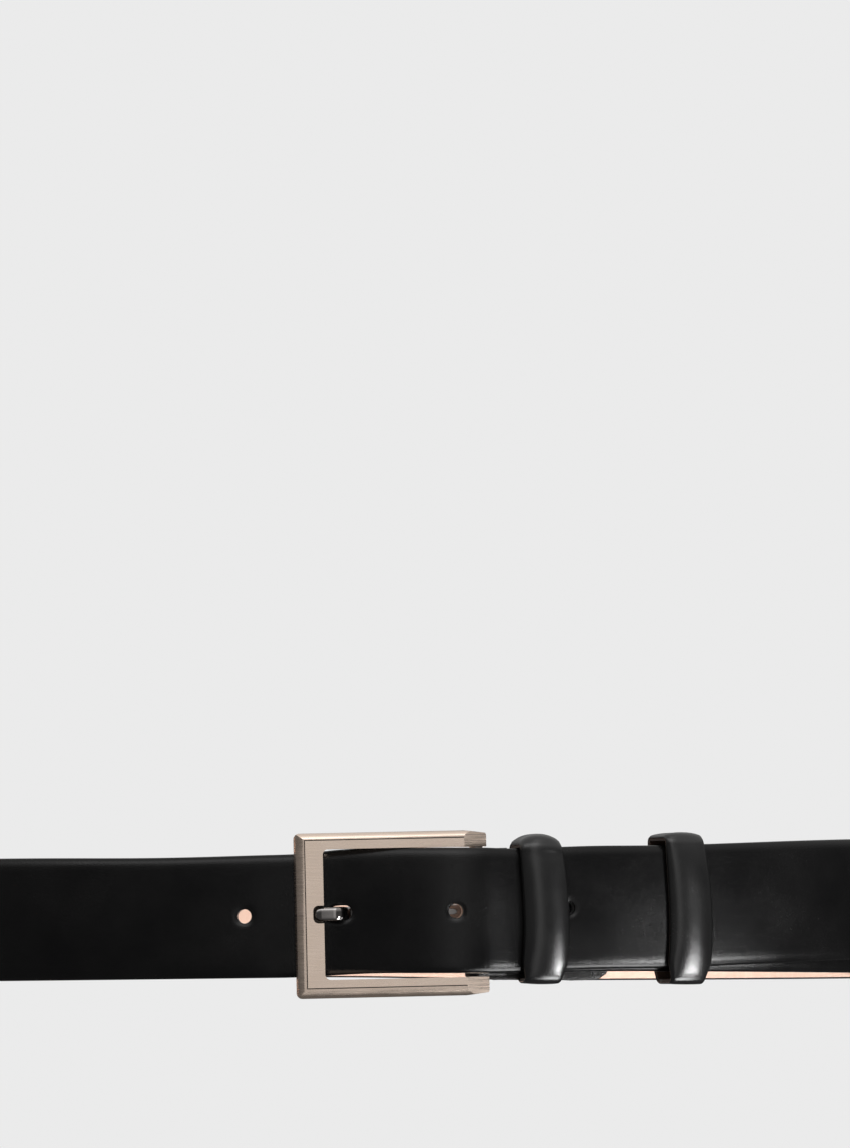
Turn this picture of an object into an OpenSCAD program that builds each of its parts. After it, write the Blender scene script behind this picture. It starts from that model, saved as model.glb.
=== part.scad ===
// Dress belt, buckled into an oval loop that stands on its edge.
// The loop's centre is at X = 0, Y runs from the buckle side (negative) to the back, and Z = 0 is
// the buckle's lowest corner. The strap's stack is measured outwards from the lining's inner face.

/* [Strap] */
// Width of the strap
strap_w = 30; // [25:1:35]
// Thickness of the outer leather
skin_t = 1.3; // [1:0.1:1.6]
// Thickness of the filler board between the two leathers
core_t = 1.1; // [0.8:0.1:1.4]
// Thickness of the lining leather
lining_t = 1.0; // [0.8:0.1:1.2]
// Half the length of the oval loop, inside
loop_half = 168; // [150:1:185]
// Gap between the two halves of the strap at the middle of the back
back_gap = 0.3; // [0.2:0.1:0.6]

/* [Tail] */
// Place of the tail's tip along the oval, as the oval's own angle from the front
tip_turn = 72; // [60:1:80]
// Length of the rounded end
tip_l = 13; // [8:1:20]
// How far the tail's centre line steps up inside the buckle
tail_hop = 0.75; // [0:0.05:0.75]
// Slope of the tail beyond the buckle, in degrees
tail_slope = 1.8; // [0:0.1:2]

/* [Holes] */
// Diameter of a hole
hole_d = 3.9; // [3.5:0.1:4.2]
// Place of the hole that holds the prong, from the middle of the loop's front
used_hole_x = 8.1; // [8:0.1:8.2]
// Diameter of the used hole, worn wider
used_hole_d = 4.5; // [4.4:0.1:4.6]
// Extra length of the used hole, drawn out by the prong
used_hole_stretch = 1.4; // [1.3:0.1:1.8]
// Spacing of the holes
hole_pitch = 26.2; // [25:0.1:27]
// Spacing of the last hole before the buckle
last_pitch = 23.3; // [23:0.1:27]
// Number of holes between the prong and the tip
holes_ahead = 3; // [1:1:4]

/* [Buckle] */
// Length of the frame along the strap
frame_l = 47; // [46:0.5:49]
// Height of the frame across the strap
frame_h = 40.0; // [40:0.1:43]
// Height of the frame's opening
opening_h = 31.6; // [31.6:0.1:33]
// How far the opening's middle is above the frame's
opening_lift = 0.25; // [0:0.05:0.3]
// Width of the bar that the prong rests on
rest_bar_w = 6.8; // [6:0.1:7.5]
// Thickness of the frame
frame_t = 3.2; // [2.8:0.1:3.6]
// Width of the bevel on the rest bar and on the lower arm
bevel_w = 2.3; // [1.5:0.1:2.5]
// Width of the bevel on the upper arm
bevel_top_w = 1.6; // [1.2:0.1:2.5]
// Width and depth of the line engraved round the face
line_w = 0.25; // [0.2:0.05:0.4]
// Diameter of the heel bar
heel_d = 3.2; // [2.8:0.1:3.4]
// Place of the heel bar, from the middle of the loop's front
heel_x = 40.4; // [40.2:0.1:40.6]
// Turn of the frame from the loop's length, in degrees
frame_yaw = 5.5; // [5:0.1:6]
// Roll of the frame in its own plane, in degrees
frame_roll = 1.3; // [0:0.1:1.3]
// Width of the prong
prong_w = 3.1; // [2.8:0.1:3.4]
// Thickness of the prong
prong_t = 1.9; // [1.7:0.1:2]

/* [Fold] */
// Thickness of the leather where it is thinned to go round the heel bar
fold_t = 1.0; // [0.8:0.1:1.1]
// Length of the fold's tab behind the strap
tab_l = 36; // [32:1:40]
// How far the tab hangs below the strap's edge
tab_drop = 0.7; // [0:0.1:0.8]
// Pitch of the fold's stitches
stitch_pitch = 3.2; // [3:0.1:4]

/* [Keepers] */
// Width of a keeper along the strap
keeper_w = 11.6; // [9:0.1:12]
// Height of a keeper, outside
keeper_h = 37.2; // [37:0.1:39]
// Thickness of a keeper below the strap
keeper_foot_t = 1.6; // [1.4:0.1:2]
// Thickness of a keeper at its crown
keeper_t = 2.6; // [2.3:0.1:3]
// Thickness of a keeper behind the strap
keeper_back_t = 1.4; // [1.3:0.1:1.8]
// Place of the fixed keeper, from the middle of the loop's front
fixed_x = 55.2; // [55:0.1:56]
// Place of the free keeper, from the middle of the loop's front
free_x = 89.1; // [84:0.1:110]

/* [Hidden] */
$fn = 64;

strap_t = skin_t + core_t + lining_t;
half_w = strap_w / 2;
// An oval 1.41 times as long as it is deep has the centre of its front curve at the middle of its back.
loop_deep = loop_half / sqrt(2);
step = 2.5;

// The frame's lowest corner stands at Z = 0, and the strap runs through the frame's middle.
mid_z = frame_h / 2 * cos(frame_roll) + frame_l / 2 * sin(frame_roll);

fold_clear = 0.45;
fold_trim = 0.5;
slot_l = 7.6;
slot_clear = 1.2;
tab_corner = 3.5;
tab_drop_from = 5;
tab_drop_to = 8;
fold_r = heel_d / 2 + fold_clear;
rest_clear = 0.3;
bar_clear = 0.7;
tail_over_heel = 2 * fold_r + fold_t + rest_clear;
heel_wall = 0.8;
tail_over_strap = strap_t + 0.4;
tail_rise_from = 1;
tail_rise_to = 37.4;
tail_fall_from = 42.4;
tail_fall_to = 49;
hop_from = -7;
hop_to = 20;
slope_start = 46;
window_steps = 24;

function smooth(u) = let (k = min(1, max(0, u))) k * k * (3 - 2 * k);
function turn_at(x) = asin(x / loop_half);
function along(t) = norm([loop_deep * sin(t), loop_half * cos(t)]);
// A place on the oval at its own angle t, moved outwards by w
function place(t, w) = [loop_half * sin(t) + w * loop_deep * sin(t) / along(t),
                        -loop_deep * cos(t) - w * loop_half * cos(t) / along(t)];
// Direction of the strap at the angle t, in degrees from +X
function heading(t) = atan2(loop_deep * sin(t), loop_half * cos(t));
// How far the tail stands off the oval: nothing behind the rest bar, then over the heel bar's fold
function stand_off(x) =
    x < 0 ? 0 : tail_over_heel * smooth((x - tail_rise_from) / (tail_rise_to - tail_rise_from))
        - (tail_over_heel - tail_over_strap) * smooth((x - tail_fall_from) / (tail_fall_to - tail_fall_from));
function stand_off_at(t) = t < -90 ? 0 : stand_off(loop_half * sin(t));
// Height of the tail's centre line above the strap's
function tail_lift(x) = tail_hop * smooth((x - hop_from) / (hop_to - hop_from))
    + tan(tail_slope) * max(0, x - slope_start);

// Local frame of the buckle: X along it from the heel bar, Y into the loop, both level
heel = place(turn_at(heel_x), fold_r);
heel_end = heel_d / 2 + heel_wall;
frame_left = heel_end - frame_l;
heel_lift = (frame_l / 2 - heel_end) * sin(frame_roll);
rest_y = -loop_deep - strap_t - bar_clear;
frame_back = (heel[1] + (frame_left + rest_bar_w / 2) * sin(frame_yaw) - rest_y) / cos(frame_yaw);
frame_front = frame_back + frame_t;
face_corner = [frame_left + bevel_w, frame_front];
front_y = heel[1] + face_corner[0] * sin(frame_yaw) - face_corner[1] * cos(frame_yaw);
back_y = loop_deep + strap_t;
loop_y = -(front_y + back_y) / 2;

bar_inner = frame_left + rest_bar_w;
corner_r = 1.4;
bevel_rise = 2.1;
bevel_steps = 6;
heel_taper = 0.8;
heel_bar_l = opening_h + 4;
slope_from = -3.3;
heel_front = 1.5;
heel_back = -2.3;
slope_run = 3.2;
notch_depth = 2.6;
notch_w = 4.3;
notch_lift = 0.3;
notch_floor = 0.75;

prong_tip_x = 1.2;
prong_dip_from = 30;
prong_steps = 60;
prong_corner_r = 1.3;
prong_dip_to = 9.8;
prong_rise_to = 4.4;
prong_low = -0.6;
prong_high = 5.7;
eye_clear = 0.05;
eye_t = 1.0;

keeper_clear = 0.25;
inner_r = 0.4;
keeper_outer_r = 3.2;
padding_t = 1.0;
padding_w = 7.4;
keeper_lining_t = 0.6;
staple_r = 0.35;
staple_l = 7;
stitch_r = 0.25;
stitch_share = 0.75;
stitches_up = 4;
thread_gap = 0.02;
stitch_rows = [46.2, 63.6];

// A band of the oval between two angles, from one stand-off to the other
module band(from, to, w0, w1, tail = false) {
    turns = concat([from], [for (k = [floor(from / step) + 1 : ceil(to / step) - 1]) k * step], [to]);
    n = len(turns) - 1;
    polygon(concat([for (t = turns) place(t, w1 + (tail ? stand_off_at(t) : 0))],
                   [for (i = [n:-1:0]) place(turns[i], w0 + (tail ? stand_off_at(turns[i]) : 0))]));
}

module level(height) translate([0, 0, mid_z - height / 2]) linear_extrude(height) children();

// Stands its children on the strap's inner face at x: X along the strap, Y into the loop
module at_strap(x) translate(concat(place(turn_at(x), 0), 0)) rotate([0, 0, heading(turn_at(x))]) children();

// Carries a section drawn as [outwards, up] along X by a width
module across(width) rotate([90, 0, 90]) linear_extrude(width, center = true) mirror([1, 0]) children();

// Carries a front view drawn as [along, up] outwards by a depth
module outwards(depth) rotate([90, 0, 0]) linear_extrude(depth) children();

module on_buckle() translate(concat(heel, mid_z)) rotate([0, 0, frame_yaw])
    translate([frame_left + frame_l / 2, 0, 0]) rotate([0, -frame_roll, 0])
    translate([-frame_left - frame_l / 2, 0, 0]) children();

// A rectangle with round corners, from square and round pieces
module round_rect(low, high, r) {
    translate([low[0] + r, low[1]]) square([high[0] - low[0] - 2 * r, high[1] - low[1]]);
    translate([low[0], low[1] + r]) square([high[0] - low[0], high[1] - low[1] - 2 * r]);
    for (x = [low[0] + r, high[0] - r], y = [low[1] + r, high[1] - r]) translate([x, y]) circle(r);
}

// ---- Strap, buckle half: from the heel bar, round the right, to the middle of the back

back_turn = 180 - back_gap / 2 / loop_half * 180 / PI;

// The slot through the fold that the prong turns in
module fold_slot() translate(concat(heel, mid_z + heel_lift + notch_lift))
    rotate([0, 0, heading(turn_at(heel_x))]) cube([slot_l, 2 * slot_l, prong_w + slot_clear], center = true);

module tab_outline() polygon([
    [heel_x, fold_trim - half_w], [heel_x + tab_drop_from, fold_trim - half_w],
    [heel_x + tab_drop_to, -half_w - tab_drop], [heel_x + tab_l - tab_corner, -half_w - tab_drop],
    [heel_x + tab_l, tab_corner - half_w], [heel_x + tab_l, half_w - tab_corner],
    [heel_x + tab_l - tab_corner, half_w - fold_trim], [heel_x, half_w - fold_trim]]);

module buckle_strap_outer() color([0.09, 0.09, 0.10]) translate([0, loop_y, 0]) difference() {
    union() {
        level(strap_w - 2 * fold_trim) difference() {
            translate(heel) circle(fold_r + fold_t);
            translate(heel) circle(fold_r);
        }
        level(strap_w) band(turn_at(heel_x + fold_r), back_turn, lining_t + core_t, strap_t);
        intersection() {
            level(strap_w + 4) band(turn_at(heel_x), turn_at(heel_x + tab_l), -fold_t, 0);
            translate([0, 0, mid_z]) outwards(3 * loop_half) tab_outline();
        }
    }
    fold_slot();
}

module buckle_strap_layer(w0, w1) translate([0, loop_y, 0]) level(strap_w)
    band(turn_at(heel_x + fold_r + fold_t + back_gap), back_turn, w0, w1);

module buckle_strap_core() color([0.45, 0.36, 0.28])
    buckle_strap_layer(lining_t, lining_t + core_t);

module buckle_strap_lining() color([0.80, 0.68, 0.60]) buckle_strap_layer(0, lining_t);

module fold_stitching() color([0.06, 0.06, 0.06]) translate([0, loop_y, mid_z])
    for (x = stitch_rows, z = [-stitches_up:stitches_up])
        at_strap(x) translate([0, fold_t + stitch_r + thread_gap, z * stitch_pitch])
            cylinder(h = stitch_pitch * stitch_share, r = stitch_r, center = true, $fn = 24);

// ---- Strap, tail half: from the middle of the back, round the left, through the buckle to the tip

hole_places = concat([used_hole_x - last_pitch], [for (i = [1:holes_ahead]) used_hole_x + i * hole_pitch]);

module hole(x, d = hole_d) translate([0, 0, mid_z + tail_lift(x)]) at_strap(x)
    rotate([90, 0, 0]) cylinder(h = 4 * strap_t, d = d, center = true);

module used_hole() {
    hole(used_hole_x, used_hole_d);
    hole(used_hole_x - used_hole_stretch, used_hole_d);
    translate([0, 0, mid_z + tail_lift(used_hole_x - used_hole_stretch / 2)])
        at_strap(used_hole_x - used_hole_stretch / 2)
        cube([used_hole_stretch, 8 * strap_t, used_hole_d - 0.02], center = true);
}

// The space the tail half fills in height: level at the left and the back, and rising at the front
module tail_window() {
    reach = 2 * loop_half;
    n = window_steps;
    xs = [for (i = [0:n]) hop_from + (loop_half + strap_w - hop_from) * i / n];
    translate([-reach, -reach, mid_z - half_w]) cube([reach + hop_from, 2 * reach, strap_w]);
    translate([hop_from - 1, 0, mid_z - half_w]) cube([reach, reach, strap_w]);
    translate([0, 0, mid_z]) outwards(reach) polygon(concat(
        [for (x = xs) [x, tail_lift(x) - half_w]],
        [for (i = [n:-1:0]) [xs[i], tail_lift(xs[i]) + half_w]]));
}

// What is cut away round the tip: everything outside a half-round end
module tip_trim() translate(concat(place(tip_turn, 0), mid_z + tail_lift(loop_half * sin(tip_turn))))
    rotate([0, 0, heading(tip_turn)]) translate([0, strap_w, 0]) outwards(3 * strap_w) difference() {
        translate([-tip_l, -strap_w]) square([tip_l + strap_w, 2 * strap_w]);
        polygon([for (a = [-90:7.5:90]) [tip_l * cos(a) - tip_l, half_w * sin(a)]]);
    }

module tail_strap_layer(w0, w1) translate([0, loop_y, 0]) difference() {
    intersection() {
        level(2 * strap_w) band(-back_turn, tip_turn, w0, w1, tail = true);
        tail_window();
    }
    for (x = hole_places) hole(x);
    used_hole();
    tip_trim();
}

module tail_strap_outer() color([0.10, 0.10, 0.11]) tail_strap_layer(lining_t + core_t, strap_t);
module tail_strap_core() color([0.45, 0.36, 0.28]) tail_strap_layer(lining_t, lining_t + core_t);
module tail_strap_lining() color([0.80, 0.68, 0.60]) tail_strap_layer(0, lining_t);

// ---- Buckle

// A rounded bevel that goes in by w and out by bevel_rise, ending at the face
function bevel(w) = [for (i = [0:bevel_steps]) let (a = 90 * i / bevel_steps)
    [w * (1 - cos(a)), frame_front - bevel_rise * (1 - sin(a))]];

// The outline from the front: a rectangle with round corners, whose arms taper at the heel bar
module frame_outline() difference() {
    round_rect([frame_left, -frame_h / 2], [heel_end, frame_h / 2], corner_r);
    for (side = [-1, 1]) polygon([[slope_from, side * frame_h / 2], [heel_end + 1, side * frame_h / 2],
                                  [heel_end + 1, side * (frame_h / 2 - heel_taper)]]);
}

module frame_plan() polygon(concat(
    [[heel_end, heel_back / 2], [heel_end - 1, heel_back], [-heel_end, heel_back],
     [heel_back - slope_run, frame_back], [frame_left, frame_back]],
    [for (p = bevel(bevel_w)) [frame_left + p[0], p[1]]],
    [[slope_from, frame_front], [heel_end, heel_front]]));

module frame_section() polygon(concat(
    [[heel_back - 2, -frame_h / 2]],
    [for (p = bevel(bevel_w)) [p[1], p[0] - frame_h / 2]],
    [for (i = [bevel_steps:-1:0]) let (p = bevel(bevel_top_w)[i]) [p[1], frame_h / 2 - p[0]]],
    [[heel_back - 2, frame_h / 2]]));

module engraved_line() translate([0, -frame_front + line_w, 0]) outwards(1) intersection() {
    difference() {
        translate([frame_left + bevel_w, bevel_w - frame_h / 2])
            square([frame_l, frame_h - bevel_w - bevel_top_w]);
        translate([frame_left + bevel_w + line_w, bevel_w + line_w - frame_h / 2])
            square([frame_l, frame_h - bevel_w - bevel_top_w - 2 * line_w]);
    }
    translate([frame_left, -frame_h]) square([slope_from - frame_left, 2 * frame_h]);
}

module buckle_frame() color([0.72, 0.66, 0.60]) translate([0, loop_y, 0]) on_buckle() difference() {
    intersection() {
        translate([0, 4, 0]) outwards(12) difference() {
            frame_outline();
            translate([0, opening_lift])
                round_rect([bar_inner, -opening_h / 2], [3 * heel_d, opening_h / 2], corner_r);
        }
        translate([0, 0, -frame_h]) linear_extrude(2 * frame_h) mirror([0, 1]) frame_plan();
        across(3 * frame_l) frame_section();
    }
    engraved_line();
    translate([bar_inner - notch_depth, -frame_back - notch_floor, notch_lift]) outwards(6)
        round_rect([0, -notch_w / 2], [2 * notch_depth, notch_w / 2], prong_corner_r);
    cylinder(h = heel_bar_l, d = heel_d, center = true);
}

module heel_bar() color([0.62, 0.60, 0.58]) translate([0, loop_y, 0]) on_buckle()
    cylinder(h = heel_bar_l, d = heel_d, center = true);

// Centre line of the prong: level from the heel bar, dipping behind the tail, and up through the hole
function prong_mid(x) = fold_r
    + (prong_low - fold_r) * smooth((prong_dip_from - x) / (prong_dip_from - prong_dip_to))
    + (prong_high - prong_low) * smooth((prong_dip_to - x) / (prong_dip_to - prong_rise_to));

module prong_plan() {
    n = prong_steps;
    xs = [for (i = [0:n]) heel_x - (heel_x - prong_tip_x) * i / n];
    mids = [for (x = xs) place(turn_at(x), prong_mid(x))];
    sides = [for (i = [0:n]) let (d = mids[min(n, i + 1)] - mids[max(0, i - 1)]) [d[1], -d[0]] / norm(d)];
    difference() {
        union() {
            polygon(concat([for (i = [0:n]) mids[i] + sides[i] * prong_t / 2],
                           [for (i = [n:-1:0]) mids[i] - sides[i] * prong_t / 2]));
            translate(heel) circle(heel_d / 2 + eye_clear + eye_t);
        }
        translate(heel) circle(heel_d / 2 + eye_clear);
    }
}

module prong() color([0.35, 0.35, 0.37]) translate([0, loop_y, 0]) on_buckle()
    rotate([0, 0, -frame_yaw]) translate([-heel[0], -heel[1], notch_lift]) intersection() {
        translate([0, 0, -prong_w / 2]) linear_extrude(prong_w) prong_plan();
        outwards(2 * loop_half) round_rect([prong_tip_x, -prong_w / 2],
                                           [heel_x + 2 * heel_d, prong_w / 2], prong_corner_r);
    }

// ---- Keepers: a lined, padded leather band round both straps, closed behind with a staple

// Inside of a keeper as [outwards, up]: round the tab, both straps and the tail's slope
function keeper_low() = [-fold_t - keeper_clear, -half_w - tab_drop - keeper_clear];
function keeper_high(x) = [tail_over_strap + strap_t + keeper_clear, half_w + tail_lift(x) + keeper_clear];

module keeper_inside(x, grow)
    round_rect(keeper_low() - [grow, grow], keeper_high(x) + [grow, grow], inner_r + grow);

module keeper_outside(x) {
    low = keeper_low() - [keeper_back_t, keeper_foot_t];
    round_rect(low, [keeper_high(x)[0] + keeper_t, low[1] + keeper_h], keeper_outer_r);
}

module at_keeper(x) translate([0, loop_y, mid_z]) at_strap(x) children();

module keeper_lining(x) at_keeper(x) difference() {
    across(keeper_w) difference() {
        keeper_inside(x, keeper_lining_t);
        keeper_inside(x, 0);
    }
    staple();
}

module padding_form(x) across(padding_w) intersection() {
    difference() {
        keeper_inside(x, keeper_lining_t + padding_t);
        keeper_inside(x, keeper_lining_t);
    }
    translate([keeper_high(x)[0] - 1, -half_w]) square([padding_w, strap_w]);
}

module keeper_band(x) at_keeper(x) difference() {
    across(keeper_w) difference() {
        keeper_outside(x);
        keeper_inside(x, keeper_lining_t);
    }
    padding_form(x);
    staple();
}

// The staple lies on the back of the band and its two legs go through it into the lining
module staple() {
    back = -keeper_low()[0] + keeper_back_t;
    translate([0, back - staple_r, 0]) {
        rotate([0, 90, 0]) cylinder(h = staple_l, r = staple_r, center = true, $fn = 24);
        for (side = [-1, 1]) translate([side * (staple_l / 2 - staple_r), 0, 0])
            rotate([90, 0, 0]) cylinder(h = keeper_back_t - staple_r, r = staple_r, $fn = 24);
    }
}

module fixed_keeper_band() color([0.14, 0.14, 0.15]) keeper_band(fixed_x);
module fixed_keeper_padding() color([0.5, 0.45, 0.4]) at_keeper(fixed_x) padding_form(fixed_x);
module fixed_keeper_lining() color([0.23, 0.17, 0.14]) keeper_lining(fixed_x);
module fixed_keeper_staple() color([0.7, 0.7, 0.7]) at_keeper(fixed_x) staple();
module free_keeper_band() color([0.14, 0.14, 0.15]) keeper_band(free_x);
module free_keeper_padding() color([0.5, 0.45, 0.4]) at_keeper(free_x) padding_form(free_x);
module free_keeper_lining() color([0.23, 0.17, 0.14]) keeper_lining(free_x);
module free_keeper_staple() color([0.7, 0.7, 0.7]) at_keeper(free_x) staple();

buckle_strap_outer();
buckle_strap_core();
buckle_strap_lining();
fold_stitching();
tail_strap_outer();
tail_strap_core();
tail_strap_lining();
buckle_frame();
heel_bar();
prong();
fixed_keeper_band();
fixed_keeper_padding();
fixed_keeper_lining();
fixed_keeper_staple();
free_keeper_band();
free_keeper_padding();
free_keeper_lining();
free_keeper_staple();
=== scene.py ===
"""Looks of a buckled dress belt: strap, fold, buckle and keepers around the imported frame."""
import math

import bmesh
import bpy
import numpy as np
from mathutils import Matrix, Vector

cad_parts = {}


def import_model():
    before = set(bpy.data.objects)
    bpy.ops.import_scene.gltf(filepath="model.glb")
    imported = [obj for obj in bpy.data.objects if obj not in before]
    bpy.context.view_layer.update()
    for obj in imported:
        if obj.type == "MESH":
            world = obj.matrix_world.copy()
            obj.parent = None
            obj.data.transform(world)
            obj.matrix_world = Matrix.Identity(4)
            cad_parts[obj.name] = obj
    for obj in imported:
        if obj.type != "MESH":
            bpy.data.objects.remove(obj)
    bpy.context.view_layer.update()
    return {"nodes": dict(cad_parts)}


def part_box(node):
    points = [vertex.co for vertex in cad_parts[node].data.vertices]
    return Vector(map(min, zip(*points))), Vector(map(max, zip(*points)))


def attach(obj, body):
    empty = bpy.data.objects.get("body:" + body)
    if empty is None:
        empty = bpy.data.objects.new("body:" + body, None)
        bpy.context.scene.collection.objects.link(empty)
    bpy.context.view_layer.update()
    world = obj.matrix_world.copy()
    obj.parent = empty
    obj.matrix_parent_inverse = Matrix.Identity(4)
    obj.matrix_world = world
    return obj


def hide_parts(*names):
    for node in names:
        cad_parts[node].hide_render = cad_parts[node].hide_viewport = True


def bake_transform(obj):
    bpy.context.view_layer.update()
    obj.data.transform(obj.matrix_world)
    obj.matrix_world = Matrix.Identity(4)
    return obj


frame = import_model()

MM = 0.001

# ---- The belt's own measures, the same as the design's, in metres ----
LOOP_HALF = 168 * MM                      # half the oval's length, inside
LOOP_DEEP = LOOP_HALF / math.sqrt(2)      # half its depth
LINING_T = 1.0 * MM
CORE_T = 1.1 * MM
SKIN_T = 1.3 * MM
STRAP_T = LINING_T + CORE_T + SKIN_T
HALF_W = 15 * MM

core_low, core_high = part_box("buckle_strap_core")
STRAP_BACK_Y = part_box("buckle_strap_outer")[1][1]
MID_Z = (core_low[2] + core_high[2]) / 2
LOOP_Y = STRAP_BACK_Y - LOOP_DEEP - STRAP_T

HEEL_X = 40.4 * MM
FOLD_R = 2.05 * MM                        # inside of the leather that goes round the heel bar
FOLD_T = 1.0 * MM
TAB_L = 36 * MM
HOLE_R = 1.75 * MM
USED_HOLE = 8.1 * MM                      # middle of the design's worn hole, which holds the prong
HOLE_PITCH = 26.2 * MM
LAST_PITCH = 23.3 * MM
TIP_TURN = math.radians(72)
TIP_L = 13 * MM
TAIL_OVER_HEEL = 5.4 * MM
TAIL_OVER_STRAP = STRAP_T + 0.4 * MM
FRAME_YAW = math.radians(5.5)
FRAME_ROLL = math.radians(1.3)

# ---- The tail's way: up over the heel bar, down on to the strap, and rising along the belt ----
CLIMB_FROM, CLIMB_OVER = 1 * MM, 36.4 * MM
DESCENT_FROM, DESCENT_OVER = 39 * MM, 11.5 * MM
STEP_RISE, STEP_FROM, STEP_OVER = 0.75 * MM, -7 * MM, 27 * MM
SLOPE, SLOPE_FROM = math.tan(math.radians(1.8)), 46 * MM
HUMP_RISE, HUMP_AT, HUMP_REACH = 0.35 * MM, 66 * MM, 14 * MM

# ---- The loop's twist: the front leans either side of LEAN_AT, and the back hangs at the right ----
LEAN_AT = 25 * MM
LEAN_LEFT = 0.0122
LEAN_RIGHT, LEAN_RIGHT_OVER = 1.4 * MM, 55 * MM
BACK_HANG, BACK_HANG_OVER = 0.9 * MM, 70 * MM


# ======================================================================================
# The belt's path: places are given as (s along the oval from the front, w outwards, z up)
# ======================================================================================

def smooth(u):
    """Smooth step from 0 to 1: 3u^2 - 2u^3."""
    u = np.clip(u, 0, 1)
    return u * u * (3 - 2 * u)


def oval(turn, w):
    """The oval's point at its own angle, (a sin t, -b cos t), moved out along its normal by w."""
    nx, ny = LOOP_DEEP * np.sin(turn), -LOOP_HALF * np.cos(turn)
    size = np.hypot(nx, ny)
    return LOOP_HALF * np.sin(turn) + w * nx / size, -LOOP_DEEP * np.cos(turn) + w * ny / size


TURNS = np.linspace(-math.pi, math.pi, 7201)
LENGTHS = np.concatenate([[0], np.cumsum(np.hypot(*np.diff(np.array(oval(TURNS, 0)))))])
LENGTHS -= np.interp(0, TURNS, LENGTHS)
HALF_LOOP = LENGTHS[-1]


def turn_of(s):
    """Angle on the oval at a length s from the front, going round past the back as often as needed."""
    return np.interp((s + HALF_LOOP) % (2 * HALF_LOOP) - HALF_LOOP, LENGTHS, TURNS)


def s_at(x):
    """Length along the front to the place whose distance from the middle is x."""
    return float(np.interp(math.asin(x / LOOP_HALF), TURNS, LENGTHS))


def stand_off(x):
    """How far the tail stands off the oval: up over the heel bar, then down on to the strap."""
    up = TAIL_OVER_HEEL * smooth((x - CLIMB_FROM) / CLIMB_OVER)
    down = (TAIL_OVER_HEEL - TAIL_OVER_STRAP) * smooth((x - DESCENT_FROM) / DESCENT_OVER)
    return up - down


def tail_step(x):
    """Share of its step inside the buckle that the tail has climbed at x, from 0 to 1."""
    return smooth((x - STEP_FROM) / STEP_OVER)


def tail_lift(x):
    """The tail's rise: a step inside the buckle, then a steady slope, and a low hump between the keepers."""
    hump = HUMP_RISE * np.exp(-((x - HUMP_AT) / HUMP_REACH) ** 2)
    return STEP_RISE * tail_step(x) + SLOPE * np.maximum(0, x - SLOPE_FROM) + hump


def twist(x, y):
    """The loop's slight twist: the front leans down to the left and up to the right, and the back hangs
    down a little at the right. The share of the front goes evenly from 1 at the front to 0 at the back."""
    front = np.clip(0.5 - 0.5 * y / LOOP_DEEP, 0, 1)
    left = LEAN_LEFT * np.minimum(0, x - LEAN_AT)
    right = LEAN_RIGHT * smooth((x - LEAN_AT) / LEAN_RIGHT_OVER)
    back = -BACK_HANG * smooth(x / BACK_HANG_OVER)
    return front * (left + right) + (1 - front) * back


def on_belt(s, w, z, tail):
    """Points of (s, w, z) on the buckle half, or on the tail half with its stand-off and rise."""
    turn = turn_of(s)
    x, y = oval(turn, w)
    rise = twist(x, y)
    if tail:
        front = np.cos(turn) > 0
        base = LOOP_HALF * np.sin(turn)
        x, y = oval(turn, w + np.where(front, stand_off(base), 0))
        rise = np.where(front, tail_lift(base) + twist(x, y) * (1 - tail_step(base)), twist(x, y))
    return np.stack([x, y + LOOP_Y, MID_Z + z + rise], axis=-1)


# ======================================================================================
# Mesh building
# ======================================================================================

def make_object(name, points, faces, smooth_angle=40):
    """A mesh object from an (n, 3) array of points and lists of faces, shaded smooth below an angle."""
    mesh = bpy.data.meshes.new(name)
    mesh.from_pydata(points.tolist(), [], [list(map(int, f)) for f in faces])
    mesh.validate()
    obj = bpy.data.objects.new(name, mesh)
    bpy.context.scene.collection.objects.link(obj)
    finish_mesh(obj, smooth_angle)
    return obj


def finish_mesh(obj, smooth_angle):
    """Turns every face outwards and keeps only the edges sharper than an angle sharp."""
    bm = bmesh.new()
    bm.from_mesh(obj.data)
    bmesh.ops.recalc_face_normals(bm, faces=bm.faces)
    limit = math.radians(smooth_angle)
    for face in bm.faces:
        face.smooth = True
    for edge in bm.edges:
        edge.smooth = not edge.is_manifold or edge.calc_face_angle(0) < limit
    bm.to_mesh(obj.data)
    bm.free()


def steps(low, high, size):
    """Even places from low to high, no further apart than size."""
    return np.linspace(low, high, max(2, int(math.ceil((high - low) / size)) + 1))


WINDOW = 3.2 * MM                          # half the square that gives way to rings round a hole
WINDOW_STEPS = 8
RING_SHARES = (0.55, 0.28, 0.12, 0.05, 0.0)


def strap_rows():
    """Places across the strap: even in the middle, and closer and closer towards the two edges."""
    edge = HALF_W - np.array([0, 0.12, 0.3, 0.55, 0.9, 1.4, 2.2, 3.4, 5.0]) * MM
    inner = np.linspace(-WINDOW, WINDOW, WINDOW_STEPS + 1)
    return np.concatenate([-edge, [-8 * MM, -5.4 * MM], inner, [5.4 * MM, 8 * MM], edge[::-1]])


def window_rows(rows):
    """First and last row of the window round a hole."""
    return int(np.argmin(abs(rows + WINDOW))), int(np.argmin(abs(rows - WINDOW)))


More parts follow.
